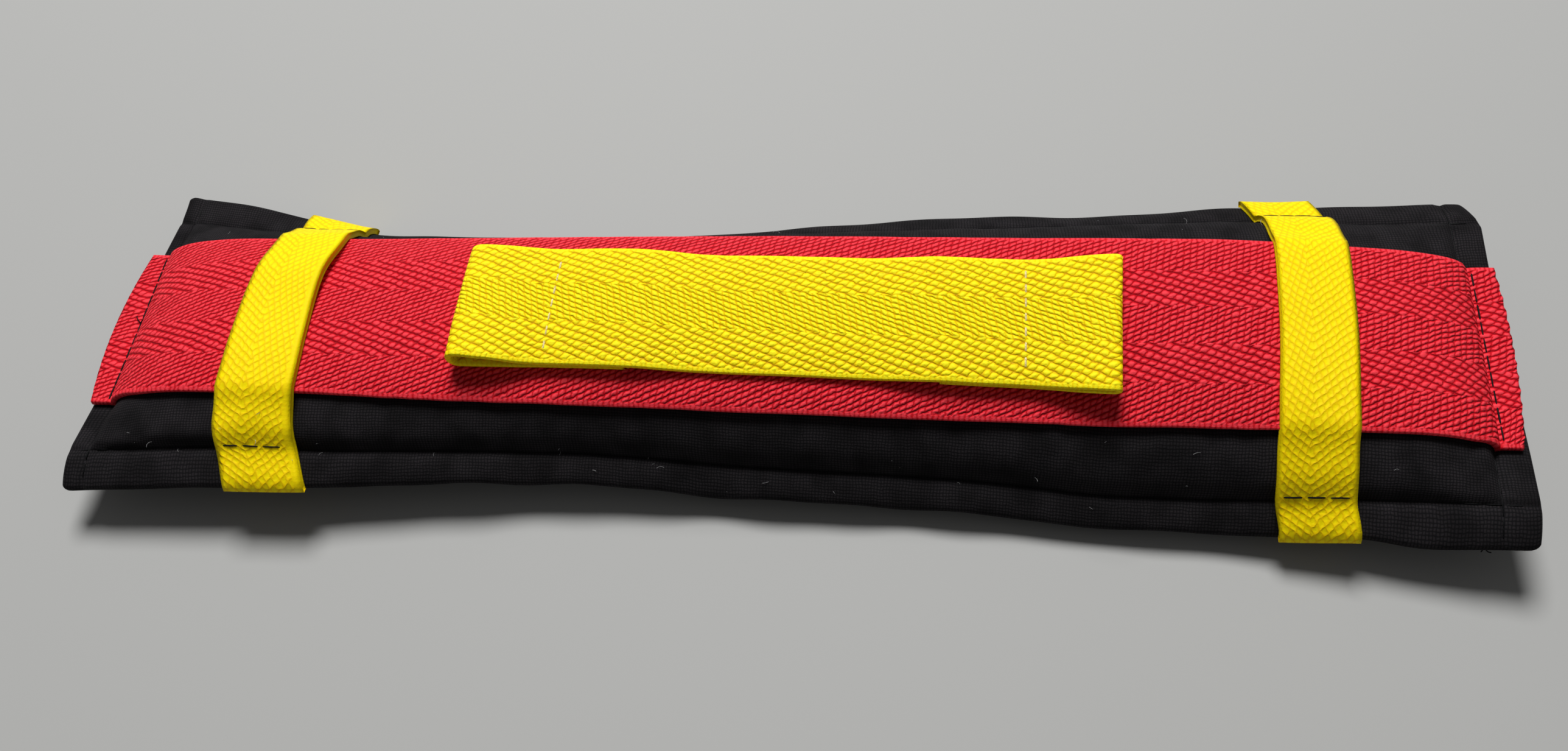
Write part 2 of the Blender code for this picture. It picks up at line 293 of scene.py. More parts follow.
def edge_point(x, reach, width, side, face):
    """A point of the flat edge: side -1 near or 1 far, face 1 upper or -1 lower."""
    row = near_row(x) if side < 0 else far_row(x)
    droop = np.radians(near_droop(x) if side < 0 else far_droop(x))
    bend = droop * (0.55 + 0.45 * reach / width)
    from_end = np.minimum(x - LEFT_END, RIGHT_END - x)
    from_rim = np.minimum(width - reach, from_end)
    thick = half_thickness(x, side * (row + reach), from_rim) * face
    wave = edge_wave(x, side) * (reach / width)
    y = side * (row + reach * np.cos(bend) + thick * np.sin(bend))
    z = seam_height(x, y) - reach * np.sin(bend) + thick * np.cos(bend) + wave
    return y, z


def end_stations():
    """Places along the pad, close together at the ends and at the end rows."""
    steps = [0, 0.06, 0.22, 0.5, 0.85, 1.25, 2.0, 2.8, 3.4, 3.8, 4.2, 4.6, 5.1, 5.8, 6.8, 8.0, 9.3]
    left = [LEFT_END + step for step in steps]
    right = [RIGHT_END - step for step in steps][::-1]
    return np.array(left + list(np.linspace(left[-1], right[0], 236)[1:-1]) + right)


def cover_ring(x):
    """One section of the bag, once round from the near rim over the top and back."""
    from_end = min(x - LEFT_END, RIGHT_END - x)
    cut = CORNER_RADIUS - math.sqrt(CORNER_RADIUS ** 2 - max(CORNER_RADIUS - from_end, 0) ** 2)
    near_width = near_edge(x) - cut
    far_width = far_edge(x) - cut
    shares = np.array([1, 0.985, 0.95, 0.89, 0.8, 0.65, 0.48, 0.3, 0.18, 0.09, 0.03])
    inner = np.sin(np.linspace(-math.pi / 2, math.pi / 2, 49))
    y = row_at(x, inner) * inner
    ring = []
    for face, panel in ((1, cover_top), (-1, cover_bottom)):
        near = [edge_point(x, share * near_width, near_width, -1, face) for share in shares]
        far = [edge_point(x, share * far_width, far_width, 1, face) for share in shares]
        if LEFT_ROW < x < RIGHT_ROW:
            z = panel(x, y)
        else:
            z = seam_height(x, y) + face * half_thickness(x, y, from_end)
        line = near + list(zip(y, np.broadcast_to(z, y.shape))) + far[::-1]
        ring += line if face > 0 else line[::-1][1:-1]
    return [(x + float(end_pull(x, y)), float(y), float(z)) for y, z in ring]


def bag_mesh(name, rings):
    """Mesh of quads on rings of points in millimetres, the first and last pressed flat.
    It has a UV map in metres: u along the pad and v round it."""
    rows, columns = len(rings), len(rings[0])
    grid = np.array(rings) * MM
    across = np.linalg.norm(np.diff(grid, axis=1, append=grid[:, :1]), axis=2)
    u = grid[:, 0, 0]
    v = np.concatenate([[0], np.cumsum(across[rows // 2])])
    faces, spots = [], []
    for i in range(rows - 1):
        for j in range(columns):
            k = (j + 1) % columns
            first, second = i * columns, (i + 1) * columns
            faces.append((first + j, second + j, second + k, first + k))
            spots += [u[i], v[j], u[i + 1], v[j], u[i + 1], v[j + 1], u[i], v[j + 1]]
    mesh = bpy.data.meshes.new(name)
    mesh.from_pydata(grid.reshape(-1, 3).tolist(), [], faces)
    layer = mesh.uv_layers.new(name="weave")
    layer.data.foreach_set("uv", np.array(spots))
    return mesh


def add_piece(name, mesh, material):
    """A finished piece at the origin, smooth, with its one material."""
    piece = bpy.data.objects.new(name, mesh)
    bpy.context.scene.collection.objects.link(piece)
    mesh.materials.clear()
    mesh.materials.append(material)
    mesh.shade_smooth()
    return piece


def linear(code):
    """An sRGB hex colour as linear light."""
    parts = [int(code[i:i + 2], 16) / 255 for i in (1, 3, 5)]
    return (*[c / 12.92 if c <= 0.04045 else ((c + 0.055) / 1.055) ** 2.4 for c in parts], 1.0)


def new_material(name, roughness, specular):
    """A plain material and its shader."""
    material = bpy.data.materials.new(name)
    material.use_nodes = True
    shader = material.node_tree.nodes["Principled BSDF"]
    shader.inputs["Roughness"].default_value = roughness
    shader.inputs["Specular IOR Level"].default_value = specular
    return material, shader


def node(material, kind, links=(), **settings):
    """Add a node; links are values, sockets or None for its inputs in order."""
    made = material.node_tree.nodes.new(kind)
    for key, value in settings.items():
        setattr(made, key, value)
    for socket, value in zip(made.inputs, links):
        if isinstance(value, bpy.types.NodeSocket):
            material.node_tree.links.new(value, socket)
        elif value is not None:
            socket.default_value = value
    return made


def calc(material, operation, *values):
    """The result of a math node on values and sockets."""
    return node(material, "ShaderNodeMath", values, operation=operation).outputs[0]


def swayed(material, place, fineness, amount):
    """Places on the cloth moved a little, so that no thread runs quite straight."""
    sway = node(material, "ShaderNodeTexNoise", [place, None, fineness, 2.0, 0.6])
    links = [sway.outputs["Color"], (0.5, 0.5, 0.5)]
    centred = node(material, "ShaderNodeVectorMath", links, operation="SUBTRACT")
    shift = node(material, "ShaderNodeVectorMath", [centred.outputs[0]], operation="SCALE")
    shift.inputs["Scale"].default_value = amount * MM
    moved = node(material, "ShaderNodeVectorMath", [place, shift.outputs[0]], operation="ADD")
    split = node(material, "ShaderNodeSeparateXYZ", [moved.outputs[0]])
    return split.outputs[0], split.outputs[1]


def coloured(material, value, *stops):
    """Colours by a value, between stops of (position, hex code)."""
    colours = node(material, "ShaderNodeValToRGB", [value])
    marks = colours.color_ramp.elements
    for mark, (position, code) in zip((marks[0], marks[1]), (stops[0], stops[-1])):
        mark.position = position
        mark.color = linear(code)
    for position, code in stops[1:-1]:
        marks.new(position).color = linear(code)
    return colours.outputs[0]


def emboss(material, height, strength, depth):
    """Let threads that stand up to depth millimetres proud catch the light."""
    shader = material.node_tree.nodes["Principled BSDF"]
    bump = node(material, "ShaderNodeBump")
    bump.inputs["Strength"].default_value = strength
    bump.inputs["Distance"].default_value = depth * MM
    material.node_tree.links.new(height, bump.inputs["Height"])
    material.node_tree.links.new(bump.outputs[0], shader.inputs["Normal"])


def cotton():
    """Dyed plain-weave cotton: threads that cross one over, one under, matt black, painted darker
    between the threads as shade and lighter on their crowns as highlights.
    """
    cloth, shader = new_material("black_plain_weave_cotton", 0.9, 0.12)
    place = node(cloth, "ShaderNodeUVMap", uv_map="weave").outputs[0]
    rises, cells = [], []
    for axis in swayed(cloth, place, 420.0, 0.7):
        turns = calc(cloth, "MULTIPLY", axis, 1 / (COTTON_THREAD_PITCH * MM))
        wave = calc(cloth, "SINE", calc(cloth, "MULTIPLY", turns, math.pi))
        rises.append(calc(cloth, "ABSOLUTE", wave))
        cells.append(calc(cloth, "FLOOR", turns))
    check = calc(cloth, "FLOORED_MODULO", calc(cloth, "ADD", *cells), 2.0)
    lobes = []
    for lengthwise, crosswise in ((0, 1), (1, 0)):
        broad = calc(cloth, "POWER", rises[lengthwise], 0.35)
        narrow = calc(cloth, "POWER", rises[crosswise], 0.9)
        lobes.append(calc(cloth, "MULTIPLY", broad, narrow))
    height = node(cloth, "ShaderNodeMix", [check, None, *lobes]).outputs[0]
    # The colour follows the threads' height: darker where they dip between each other as painted
    # shade, lighter on their crowns as a painted highlight.
    colour = coloured(cloth, height, (0.25, "#0F0E10"), (1.0, "#262325"))
    # The dye has taken a little unevenly.
    patches = node(cloth, "ShaderNodeTexNoise", [place, None, 160.0, 2.0, 0.5]).outputs[0]
    amount = node(cloth, "ShaderNodeMapRange", [patches, 0.35, 0.65, 0.6, 1.25]).outputs[0]
    dyed = node(cloth, "ShaderNodeVectorMath", [colour], operation="SCALE")
    cloth.node_tree.links.new(amount, dyed.inputs["Scale"])
    cloth.node_tree.links.new(dyed.outputs[0], shader.inputs["Base Color"])
    slub = node(cloth, "ShaderNodeTexNoise", [place, None, 900.0, 3.0, 0.6]).outputs[0]
    emboss(cloth, calc(cloth, "MULTIPLY", height, slub), 0.8, 0.12)
    return cloth


cover = add_piece("cover", bag_mesh("cover", [cover_ring(x) for x in end_stations()]), cotton())
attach(cover, "root")
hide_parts("cover_top", "cover_bottom", "wadding")


# The webbing: red cotton in a herringbone weave, 38 mm wide, laid along the middle of
# the pad and caught in both end seams, where it stands a little proud.
WEBBING_WIDTH = 38.0
WEBBING_COLUMNS = 41
WEBBING_LEFT = LEFT_END - 1.2
WEBBING_RIGHT = RIGHT_END + 0.6
FLUTE_DEPTH = 0.11
TAPE_THICKNESS = 1.2
CLEARANCE = 0.2
# Points round a tape's rounded edge: outwards and up, in half thicknesses.
EDGE_PROFILE = ((0.42, 0.8), (0.56, 0.0), (0.42, -0.8))


def woven_grains(tape, u, v, angle, row_gap, grain_gap, shear, parting):
    """Height of yarns lying in slanting rows, and a number that differs by grain."""
    lean = math.radians(angle)
    row = calc(tape, "MULTIPLY", u, math.sin(lean) / (row_gap * MM))
    row = calc(tape, "MULTIPLY_ADD", v, math.cos(lean) / (row_gap * MM), row)
    grain = calc(tape, "MULTIPLY", u, math.cos(lean) / (grain_gap * MM))
    grain = calc(tape, "MULTIPLY_ADD", v, -math.sin(lean) / (grain_gap * MM), grain)
    grain = calc(tape, "MULTIPLY_ADD", row, shear, grain)
    humps, cells = [], []
    for phase, power in ((row, 0.8), (grain, 0.75)):
        wave = calc(tape, "SINE", calc(tape, "MULTIPLY", phase, math.pi))
        humps.append(calc(tape, "POWER", calc(tape, "ABSOLUTE", wave), power))
        cells.append(calc(tape, "FLOOR", phase))
    scallop = calc(tape, "MULTIPLY_ADD", humps[1], parting, 1 - parting)
    yarn = calc(tape, "MULTIPLY", humps[0], scallop)
    return yarn, calc(tape, "MULTIPLY_ADD", cells[1], 57.0, cells[0])


def herringbone(name, colours, width, band, shift, relief, dash_angle=None):
    """Dyed cotton tape, woven so that its slanting rows turn at every band across it.
    With a dash_angle, bands of plump grains alternate with bands of flatter dashes."""
    tape, shader = new_material(name, 0.62, 0.1)
    place = node(tape, "ShaderNodeUVMap", uv_map="weave").outputs[0]
    u, v = swayed(tape, place, 520.0, 0.9)
    shifted = calc(tape, "ADD", v, shift * MM)
    if dash_angle is None:
        folded = calc(tape, "PINGPONG", shifted, band * MM)
        height, cell = woven_grains(tape, u, folded, 50, 1.25, 1.3, -0.4, 0.7)
        turn_swing, turn_base = 0.08, 0.6
    else:
        bands = calc(tape, "FLOORED_MODULO", shifted, 2 * band * MM)
        plump = calc(tape, "GREATER_THAN", bands, band * MM)
        grains = woven_grains(tape, u, v, 20, 1.42, 1.36, -0.45, 0.72)
        shear = math.copysign(0.45, dash_angle)
        dashes = woven_grains(tape, u, v, dash_angle, 0.96, 1.45, shear, 0.6)
        height = node(tape, "ShaderNodeMix", [plump, None, dashes[0], grains[0]]).outputs[0]
        cell = node(tape, "ShaderNodeMix", [plump, None, dashes[1], grains[1]]).outputs[0]
        turn_swing, turn_base = 0.3, 0.5
    # The weft turns back at both edges, which leaves a finer, flatter selvage there.
    off_centre = calc(tape, "ABSOLUTE", calc(tape, "SUBTRACT", v, width / 2 * MM))
    start, end = (width / 2 - 0.75) * MM, (width / 2 - 0.35) * MM
    within = node(tape, "ShaderNodeMapRange", [off_centre, start, end, 1.0, 0.0]).outputs[0]
    turns = calc(tape, "SINE", calc(tape, "MULTIPLY", u, math.pi / (0.95 * MM)))
    selvage = calc(tape, "MULTIPLY_ADD", calc(tape, "ABSOLUTE", turns), turn_swing, turn_base)
    height = node(tape, "ShaderNodeMix", [within, None, selvage, height]).outputs[0]
    fibre = node(tape, "ShaderNodeTexNoise", [place, None, 2600.0, 2.0, 0.7]).outputs[0]
    rough = calc(tape, "MULTIPLY_ADD", fibre, 0.3, height)
    chance = node(tape, "ShaderNodeTexWhiteNoise", noise_dimensions="1D")
    tape.node_tree.links.new(cell, chance.inputs["W"])
    varied = calc(tape, "MULTIPLY_ADD", chance.outputs[0], 0.16, rough)
    # The yarns' height sets the colour: the first colour is painted shade in the gaps between yarns,
    # the last a painted highlight on their tops, with the dye's own colour between.
    gap, body, painted_highlight = colours
    colour = coloured(tape, varied, (0.3, gap), (0.72, body), (1.0, painted_highlight))
    tape.node_tree.links.new(colour, shader.inputs["Base Color"])
    emboss(tape, rough, 0.9, relief)
    return tape


def arc_places(x, half, count, middle=0.0):
    """Places across the pad at even distances over its crown, half each way."""
    fine = np.linspace(-32, 32, 641)
    z = cover_top(np.full_like(fine, x), fine)
    length = np.concatenate([[0], np.cumsum(np.hypot(np.diff(fine), np.diff(z)))])
    length -= np.interp(middle, fine, length)
    return np.interp(np.linspace(-half, half, count), length, fine)


def surface_normal(height, x, y):
    """Unit normal of a height function at points of the pad."""
    step = 0.4
    slope_x = (height(x + step, y) - height(x - step, y)) / (2 * step)
    slope_y = (height(x, y + step) - height(x, y - step)) / (2 * step)
    normal = np.stack([-slope_x, -slope_y, np.ones_like(slope_x)], axis=-1)
    return normal / np.linalg.norm(normal, axis=-1, keepdims=True)


def sewn_top(x, y):
    """Height of the cover, carried on level past the ends."""
    inside = np.clip(x, LEFT_END + 1.5, RIGHT_END - 1.5)
    return cover_top(inside, y)


def tape_mesh(name, centre, normals, along, width):
    """A woven tape about a grid of points: flat faces, rounded edges and cut ends."""
    centre, normals = np.array(centre), np.array(normals)
    rows, columns = centre.shape[:2]
    half = TAPE_THICKNESS / 2
    across = np.cross(np.gradient(centre, axis=0), normals)
    across /= np.linalg.norm(across, axis=2, keepdims=True)
    ring = [centre[:, j] + normals[:, j] * half for j in range(columns)]
    for out, up in EDGE_PROFILE:
        ring.append(centre[:, -1] + (-across[:, -1] * out + normals[:, -1] * up) * half)
    ring += [centre[:, j] - normals[:, j] * half for j in range(columns - 1, -1, -1)]
    for out, up in EDGE_PROFILE[::-1]:
        ring.append(centre[:, 0] + (across[:, 0] * out + normals[:, 0] * up) * half)
    points = np.array(ring).swapaxes(0, 1) * MM
    count = len(ring)
    faces = []
    for i in range(rows - 1):
        first, second = i * count, (i + 1) * count
        for j in range(count):
            k = (j + 1) % count
            faces.append((first + j, second + j, second + k, first + k))
    under = [2 * columns + 2 - j for j in range(columns)]
    cap = [(j, j + 1, under[j + 1], under[j]) for j in range(columns - 1)]
    cap.append(tuple(range(columns - 1, columns + 4)))
    cap.append(tuple(range(2 * columns + 2, count)) + (0,))
    last = (rows - 1) * count
    faces += cap + [tuple(last + k for k in reversed(face)) for face in cap]
    mesh = bpy.data.meshes.new(name)
    mesh.from_pydata(points.reshape(-1, 3).tolist(), [], faces)
    v = np.linspace(0, width, columns)
    beyond = np.array((0.35, 0.75, 1.1))
    v = [*v, *(width + beyond), *v[::-1], *(-beyond[::-1])]
    spots = np.array([(u, height) for u in along for height in v]) * MM
    corners = np.zeros(len(mesh.loops), dtype=int)
    mesh.loops.foreach_get("vertex_index", corners)
    layer = mesh.uv_layers.new(name="weave")
    layer.data.foreach_set("uv", spots[corners].ravel())
    return mesh


# Dyed cotton webbing, woven thick, with painted shade in its gaps and painted highlights on its
# yarns.
red_webbing_material = herringbone(
    "red_herringbone_webbing", ("#8E0412", "#D2101F", "#F23E4A"), WEBBING_WIDTH, 7.6, 0.0, 0.4, -25.0,
)
webbing_xs = np.array([
    WEBBING_LEFT, WEBBING_LEFT + 0.5, *end_stations()[6:-6], WEBBING_RIGHT - 0.5, WEBBING_RIGHT,
])
webbing_lines, webbing_normals = [], []
for x in webbing_xs:
    over_cover = float(np.clip(x, LEFT_END + 2, RIGHT_END - 2))
    y = arc_places(over_cover, WEBBING_WIDTH / 2, WEBBING_COLUMNS)
    xs = np.full_like(y, x)
    normal = surface_normal(sewn_top, np.clip(xs, LEFT_END + 2.2, RIGHT_END - 2.2), y)
    line = np.stack([xs, y, sewn_top(xs, y)], axis=-1)
    across = y / (WEBBING_WIDTH / 2)
    past_left = ramp(-x, -LEFT_ROW, -LEFT_END)
    past_right = ramp(x, RIGHT_ROW, RIGHT_END)
    flutes = FLUTE_DEPTH * np.sin(y * math.tau / 2.9 + 0.8 * np.sin(y / 4))
    line[:, 0] += end_pull(x, y) * (1 - past_left) * (1 - past_right)
    line[:, 0] += past_left * (-0.9 + 1.7 * across ** 2 - 0.6 * across + flutes)
    line[:, 0] += past_right * (0.5 - 1.1 * across ** 2 + 0.8 * across + flutes)
    line[:, 2] += (past_left + past_right) * flutes
    webbing_lines.append(line + normal * (CLEARANCE + TAPE_THICKNESS / 2))
    webbing_normals.append(normal)
webbing_mesh = tape_mesh(
    "red_webbing_strip", webbing_lines, webbing_normals, webbing_xs - LEFT_END, WEBBING_WIDTH,
)
webbing = add_piece("red_webbing_strip", webbing_mesh, red_webbing_material)
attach(webbing, "root")
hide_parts("red_webbing")


# The cross straps: two lengths of 15 mm yellow herringbone tape over the webbing.
# Their ends lie in the flat edge, sewn down by the long rows of black stitching.
STRAP_COLUMNS = 13
# Width, bow over the webbing, spread of the near end, and the middle line as (y, x).
STRAPS = {
    "strap_left": (14.4, 1.2, 1.07, [
        (-36, -94.7), (-28, -97.1), (-24, -97.5), (-15, -97.1), (0, -97.5), (8, -97.2),
        (14, -96.3), (19, -96.4), (25, -97.2), (32, -97.8),
    ]),
    "strap_right": (13.7, 0.0, 1.0, [
        (-37, 100.4), (-28, 98.3), (-22, 97.9), (-14, 98.1), (0, 99.2), (9, 99.6),
        (17, 100.1), (24, 100.4), (29, 100.5), (33, 99.0), (38, 97.8),
    ]),
}


def strap_line(x, bow):
    """One lengthwise line of a strap from rim to rim: (y, height) over what it crosses."""
    shares = (0.04, 0.15, 0.35, 0.6, 0.8, 0.9, 0.955)
    near = [edge_point(x, share * near_edge(x), near_edge(x), -1, 1) for share in shares[::-1]]
    far = [edge_point(x, share * far_edge(x), far_edge(x), 1, 1) for share in shares]
    y = np.linspace(-float(near_row(x)) + 0.4, float(far_row(x)) - 0.4, 61)
    over_webbing = (CLEARANCE + TAPE_THICKNESS) * ramp(-np.abs(y), -20.6, -18.6)
    z = cover_top(np.full_like(y, x), y) + over_webbing
    y, z = np.array([*near, *zip(y, z), *far], dtype=float).T
    laid = z.copy()
    # Drawn tight, the strap bridges every dip, but its far flap lies on the rim.
    for _ in range(12):
        z[1:-1] = np.maximum(z[1:-1], 0.25 * z[:-2] + 0.5 * z[1:-1] + 0.25 * z[2:])
    z += (laid - z) * ramp(y, far_row(x) - 0.6, far_row(x) + 1.4)
    for row in (-near_row(x), far_row(x)):
        z -= 0.22 * np.exp(-((y - row) / 0.8) ** 2)
    return np.stack([y, z + bow * np.exp(-((y - 9) / 8.5) ** 2)], axis=1)


# Dyed cotton tape, finer than the webbing and nearly flat, with painted shade in its gaps and painted
# highlights on its yarns.
yellow_strap_material = herringbone(
    "yellow_herringbone_tape", ("#F0C800", "#FCD800", "#FFE600"), 13.4, 16.0, 10.5, 0.14,
)
straps = []
for strap_name, (strap_width, bow, near_spread, middle_path) in STRAPS.items():
    centre_x = float(np.mean([x for _, x in middle_path]))
    strap_ys = strap_line(centre_x, bow)[:, 0]
    middle_xs = smoothed(middle_path, 1.6)(strap_ys)
    spread = np.interp(strap_ys, (-28, 4), (near_spread, 1.0))
    strap_grid = []
    for offset in np.linspace(-strap_width / 2, strap_width / 2, STRAP_COLUMNS):
        line = strap_line(centre_x + offset, bow * (0.75 + 0.5 * offset / strap_width))
        strap_grid.append([
            (x + offset * wider, y, z) for x, wider, (y, z) in zip(middle_xs, spread, line)
        ])
    strap_grid = np.array(strap_grid).swapaxes(0, 1)
    normal = np.cross(np.gradient(strap_grid, axis=1), np.gradient(strap_grid, axis=0))
    normal /= np.linalg.norm(normal, axis=2, keepdims=True)
    strap_centre = strap_grid + normal * (CLEARANCE + TAPE_THICKNESS / 2)
    steps = np.linalg.norm(np.diff(strap_centre[:, STRAP_COLUMNS // 2], axis=0), axis=1)
    along = np.concatenate([[0], np.cumsum(steps)])
    strap_mesh = tape_mesh(strap_name + "_tape", strap_centre, normal, along, strap_width)
    strap = add_piece(strap_name + "_tape", strap_mesh, yellow_strap_material)
    straps.append(strap)
    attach(strap, "root")
    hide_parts(strap_name)


# The loop tape: 25 mm yellow herringbone tape along the webbing, both ends turned under
# and sewn across, so that each end is a flat loop. The left one stands open.
LOOP_TAPE_WIDTH = 24.6
LOOP_COLUMNS = 25
LOOP_LEFT = -60.4
LOOP_RIGHT = 63.8
LEFT_SEAM = -42.2
RIGHT_SEAM = 46.4
LEFT_CUT = -27.4
RIGHT_CUT = 31.0
LEFT_OPENING = 2.9
RIGHT_OPENING = 0.6
RIGHT_RISE = 1.9
LAYER_STEP = 15


def loop_path():
    """X and height over the webbing of the tape's middle layer, cut end to cut end."""
    low = 0.15 + TAPE_THICKNESS / 2
    high = low + TAPE_THICKNESS + 0.12
    path = [(x, low) for x in np.linspace(LEFT_CUT, LEFT_SEAM, 8)]
    for share in np.linspace(0, 1, 12)[1:-1]:
        path.append((LEFT_SEAM + (LOOP_LEFT + 2.3 - LEFT_SEAM) * share, low + 0.1 * share))
    radius = (TAPE_THICKNESS + LEFT_OPENING) / 2
    for angle in np.radians(np.linspace(-90, 90, 11)):
        x = LOOP_LEFT + 0.6 + 1.5 * (1 - math.cos(angle))
        path.append((x, low + 0.1 + radius + radius * math.sin(angle)))
    for share in np.linspace(0, 1, 14)[1:]:
        x = LOOP_LEFT + 2.1 + (LEFT_SEAM - LOOP_LEFT - 2.1) * share
        path.append((x, high + (LEFT_OPENING - 0.02) * (1 - ramp(share, 0.0, 1.0))))
    path += [(x, high) for x in np.linspace(LEFT_SEAM, LEFT_CUT, 8)[1:]]
    for x in np.linspace(LEFT_CUT + 1, LEFT_CUT + LAYER_STEP, 15):
        path.append((x, high - (high - low) * ramp(x, LEFT_CUT, LEFT_CUT + LAYER_STEP)))
    for x in np.linspace(LEFT_CUT + LAYER_STEP, RIGHT_CUT - LAYER_STEP, 28)[1:]:
        path.append((x, low))
    for x in np.linspace(RIGHT_CUT - LAYER_STEP + 1, RIGHT_CUT, 15):
        path.append((x, low + (high - low) * ramp(x, RIGHT_CUT - LAYER_STEP, RIGHT_CUT)))
    path += [(x, high) for x in np.linspace(RIGHT_CUT, RIGHT_SEAM, 8)[1:]]
    for share in np.linspace(0, 1, 14)[1:]:
        x = RIGHT_SEAM + (LOOP_RIGHT - 2.0 - RIGHT_SEAM) * share
        swell = (RIGHT_OPENING - 0.12) * ramp(share, 0.2, 1.0)
        path.append((x, high + RIGHT_RISE * ramp(share, 0.0, 1.1) + swell))
    radius = (TAPE_THICKNESS + RIGHT_OPENING) / 2
    for angle in np.radians(np.linspace(90, -90, 11)):
        x = LOOP_RIGHT - 0.6 - 0.9 * (1 - math.cos(angle))
        path.append((x, low + RIGHT_RISE * 0.975 + radius + radius * math.sin(angle)))
    for share in np.linspace(1, 0, 14):
        x = RIGHT_SEAM + (LOOP_RIGHT - 2.0 - RIGHT_SEAM) * share
        path.append((x, low + RIGHT_RISE * ramp(share, 0.0, 1.1)))
    path += [(x, low) for x in np.linspace(RIGHT_SEAM, RIGHT_CUT, 8)[1:]]
    return np.array(path, dtype=float)


def webbing_top(x, y):
    """Height of the red webbing's face."""
    return sewn_top(x, y) + CLEARANCE + TAPE_THICKNESS


# Dyed cotton tape like the straps', but thicker, with plump yarns, painted shade in its gaps and
# painted highlights on them.
yellow_loop_material = herringbone(
    "yellow_herringbone_loop_tape", ("#CE9A00", "#FFDE00", "#FFF01A"),
    LOOP_TAPE_WIDTH, 8.2, 8.2, 0.36, 22.0,
)
loop_lines, loop_normals = [], []
loop_points = loop_path()
tangents = np.gradient(loop_points, axis=0)
tangents /= np.linalg.norm(tangents, axis=1, keepdims=True)
for (x, height), (tangent_x, tangent_z) in zip(loop_points, tangents):
    half_width = LOOP_TAPE_WIDTH / 2 * (1 + 0.07 * ramp(x, RIGHT_SEAM, LOOP_RIGHT))
    middle = -0.5 - 0.7 * ramp(x, 0, 60) - 0.3 * ramp(-x, 30, 60)
    y = arc_places(x, half_width, LOOP_COLUMNS, middle)
    xs = np.full_like(y, x)
    normal = surface_normal(webbing_top, xs, y)
    # Where the tape stands off the webbing it is stiffer, and its section straighter.
    stiff = 0.55 * ramp(height, 1.2, 4.0)
    z = webbing_top(xs, y)
    flat_y = np.linspace(y[0], y[-1], LOOP_COLUMNS)
    slope = (z[-1] - z[0]) / (flat_y[-1] - flat_y[0])
    chord = z.mean() + (flat_y - flat_y.mean()) * slope
    z = z * (1 - stiff) + chord * stiff
    far_share = (flat_y - y[0]) / (y[-1] - y[0])
    lift = np.minimum(height, 2.1) + np.maximum(height - 2.1, 0) * (1.15 - 0.7 * far_share)
    line = np.stack([xs, y, z], axis=-1) + normal * lift[:, None]
    line[:, 0] += ramp(x, 40, 64) * (1.1 * far_share - 0.4)
    loop_lines.append(line)
    up = normal * tangent_x
    up[:, 0] -= tangent_z
    loop_normals.append(up / np.linalg.norm(up, axis=1, keepdims=True))
steps = np.linalg.norm(np.diff(loop_points, axis=0), axis=1)
along = np.concatenate([[0], np.cumsum(steps)])
loop_mesh = tape_mesh("loop_tape_folded", loop_lines, loop_normals, along, LOOP_TAPE_WIDTH)
loop_tape = add_piece("loop_tape_folded", loop_mesh, yellow_loop_material)
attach(loop_tape, "root")
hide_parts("loop_tape")


# The stitching: black thread sewn in running stitches about 3.5 mm apart, through both
# panels, the ends of the webbing and the straps, and right out to the pad's edges.
# The loop tape has cream cross seams, and rows of yellow thread in a groove.
THREAD_WIDTH = 0.34
STITCH_PITCH = 3.5
TAPE_ROW_PITCH = 3.9
STRAP_MIDDLES = (-98.5, 98.3)
STRAP_HALF_WIDTH = 7.6
WEBBING_HALF_WIDTH = 19.4
# One stitch 1 long and 1 across: place along it, share of its radius, and height.
STITCH_RINGS = (
    (-0.5, 0.3, -0.75), (-0.46, 0.8, -0.4), (-0.34, 1.0, -0.05), (0.0, 1.0, 0.08),
    (0.34, 1.0, -0.05), (0.46, 0.8, -0.4), (0.5, 0.3, -0.75),
)


def outer_faces(pieces):
    """A search tree over the faces of finished pieces."""
    points, faces = [], []
    for piece in pieces:
        first = len(points)
        points += [vert.co.copy() for vert in piece.data.vertices]
        faces += [[first + corner for corner in face.vertices] for face in piece.data.polygons]
    return BVHTree.FromPolygons(points, faces)


def laid_on(tree, x, y, side=1, sink=0.0):
    """Point and normal of the outermost face over (1) or under (-1) a place, if any."""
    start = Vector((x, y, 60 * side)) * MM
    hit, normal, _, _ = tree.ray_cast(start, Vector((0, 0, -side)))
    if hit is None:
        return None
    if normal.z * side < 0:
        normal = -normal
    return hit - normal * sink * MM, normal


